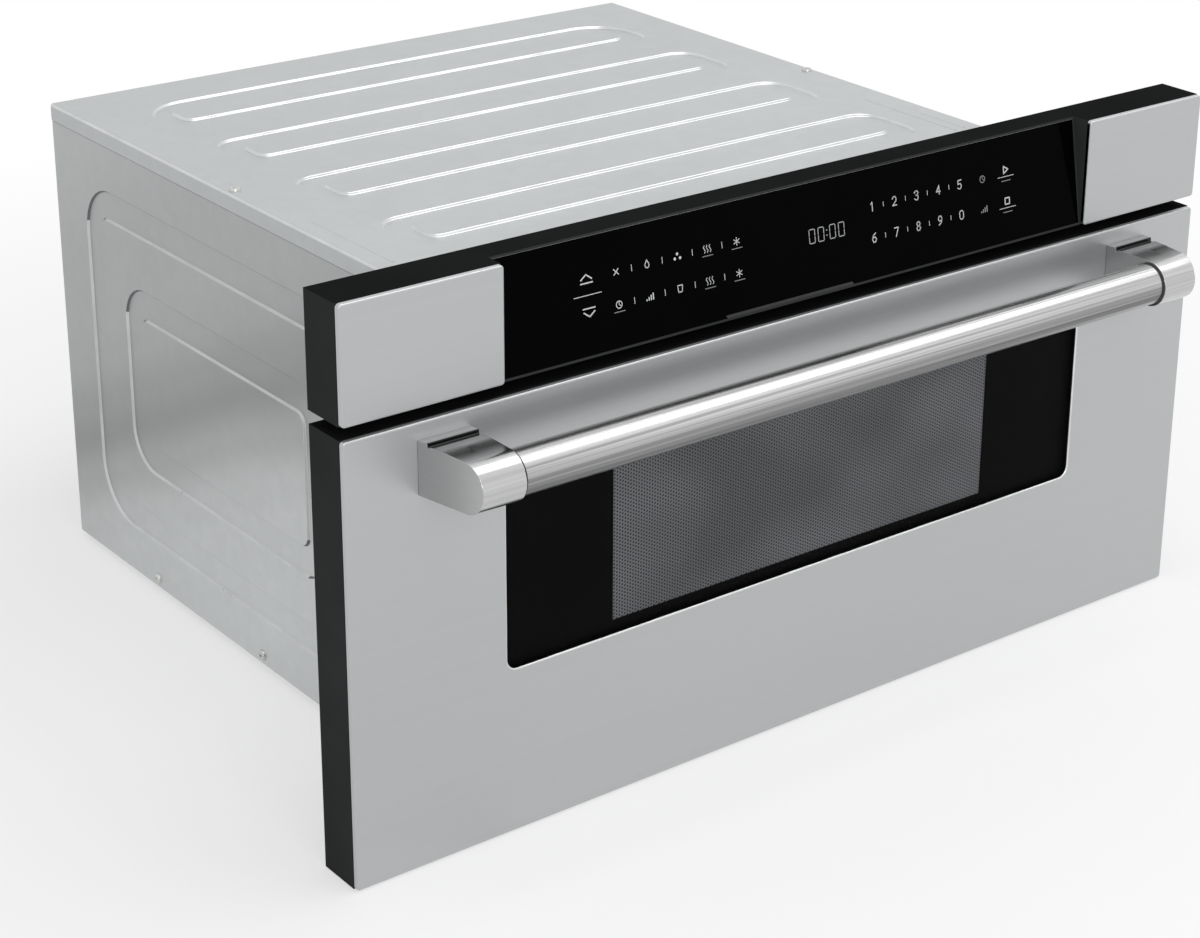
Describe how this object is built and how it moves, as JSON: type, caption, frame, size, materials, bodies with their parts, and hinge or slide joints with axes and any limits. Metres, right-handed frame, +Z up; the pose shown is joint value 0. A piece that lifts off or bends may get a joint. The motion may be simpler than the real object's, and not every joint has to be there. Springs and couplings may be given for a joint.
{
  "type": "microwave drawer",
  "caption": "Built-in microwave oven with a wide steel front: a pull-out drawer with a window and a bar handle, under a sloping black touch panel.",
  "frame": {"origin": "middle of the base, handle included, on the surface that the runners stand on", "axes": "+Z up, the front and its handle face -Y, +X to the right seen from the front"},
  "size_m": [0.7548, 0.6478, 0.4011],
  "materials": {
    "galvanised": "zinc-coated sheet with a faint spangle",
    "zinc_screw": "bright zinc",
    "black_body": "fine matt black",
    "stainless": "satin stainless",
    "polished_stainless": "finely brushed, bright",
    "black_glass": "back-printed black glass",
    "window_glass": "clear, black-printed border",
    "perforated_steel": "fine perforation, grey",
    "circuit_board": "green solder mask",
    "display": "segment display",
    "dark_enamel": "dark grey powder coat",
    "cavity_steel": "satin stainless",
    "tray_glass": "toughened glass",
    "aluminised": "dull",
    "copper": "enamelled copper",
    "fin_aluminium": "bright",
    "white_plastic": "natural white nylon",
    "grey_plastic": "grey moulding",
    "lamp_glass": "clear bulb",
    "core_steel": "varnished laminations",
    "rubber": "matt black",
    "rail_steel": "zinc-plated"
  },
  "bodies": {
    "cabinet": {"back_panel": "galvanised", "base_pan": "galvanised", "base_runners": "galvanised", "capacitor_clamp": "aluminised", "case_screws": "zinc_screw", "cavity_liner": "cavity_steel", "cavity_stands": "galvanised", "clock_display": "display", "control_board": "circuit_board", "drive_motor": "aluminised", "fan_motor": "dark_enamel", "fan_shroud": "black_body", "fascia_back_cover": "galvanised", "fascia_housing": "black_body", "front_frame": "galvanised", "high_voltage_capacitor": "fin_aluminium", "high_voltage_diode": "black_body", "inlet_gland": "rubber", "interlock_switches": "white_plastic", "lamp_housing": "aluminised", "left_end_cap": "stainless", "left_outer_rail": "rail_steel", "left_side_panel": "galvanised", "magnetron_anode": "copper", "magnetron_fins": "fin_aluminium", "magnetron_yoke": "aluminised", "noise_filter": "circuit_board", "oven_lamp": "lamp_glass", "right_end_cap": "stainless", "right_outer_rail": "rail_steel", "right_side_panel": "galvanised", "stirrer_cover": "white_plastic", "stirrer_motor": "aluminised", "switch_bracket": "aluminised", "top_cover": "galvanised", "touch_glass": "black_glass", "transformer_coils": "copper", "transformer_core": "core_steel", "waveguide": "aluminised"},
    "drawer": {"drawer_skin": "stainless", "drawer_front_body": "black_body", "window_glass": "window_glass", "window_screen": "perforated_steel", "inner_panel": "dark_enamel", "choke_frame": "dark_enamel", "drawer_tub": "cavity_steel", "glass_tray": "tray_glass", "handle_bar": "polished_stainless", "left_handle_bracket": "polished_stainless", "right_handle_bracket": "polished_stainless", "handle_screws": "zinc_screw", "latch_hooks": "white_plastic", "left_inner_rail": "rail_steel", "right_inner_rail": "rail_steel", "drive_rack": "white_plastic"},
    "left_slide": {"left_middle_rail": "rail_steel"},
    "right_slide": {"right_middle_rail": "rail_steel"},
    "pinion": {"drive_pinion": "white_plastic"},
    "fan": {"fan_impeller": "grey_plastic"},
    "stirrer": {"stirrer_blades": "fin_aluminium"}
  },
  "joints": [
    {"name": "drawer_slide", "type": "slide", "parent": "cabinet", "child": "drawer", "axis": [0, -1, 0], "range_m": [0, 0.38]},
    {"name": "left_slide_run", "type": "slide", "parent": "cabinet", "child": "left_slide", "axis": [0, -1, 0], "range_m": [0, 0.19]},
    {"name": "right_slide_run", "type": "slide", "parent": "cabinet", "child": "right_slide", "axis": [0, -1, 0], "range_m": [0, 0.19]},
    {"name": "pinion_spin", "type": "hinge", "parent": "cabinet", "child": "pinion", "pos_m": [0.25438, -0.19395, 0.075], "axis": [0, 0, 1], "range_deg": [0, 2420]},
    {"name": "fan_spin", "type": "hinge", "parent": "cabinet", "child": "fan", "pos_m": [0, 0.3, 0.302], "axis": [0, 1, 0], "continuous": true},
    {"name": "stirrer_spin", "type": "hinge", "parent": "cabinet", "child": "stirrer", "pos_m": [0, -0.01395, 0.26], "axis": [0, 0, 1], "continuous": true}
  ],
  "couplings": [
    {"joint": "left_slide_run", "follows": "drawer_slide", "ratio": 0.5},
    {"joint": "right_slide_run", "follows": "drawer_slide", "ratio": 0.5},
    {"joint": "pinion_spin", "follows": "drawer_slide", "rad_per_m": 111.11}
  ]
}
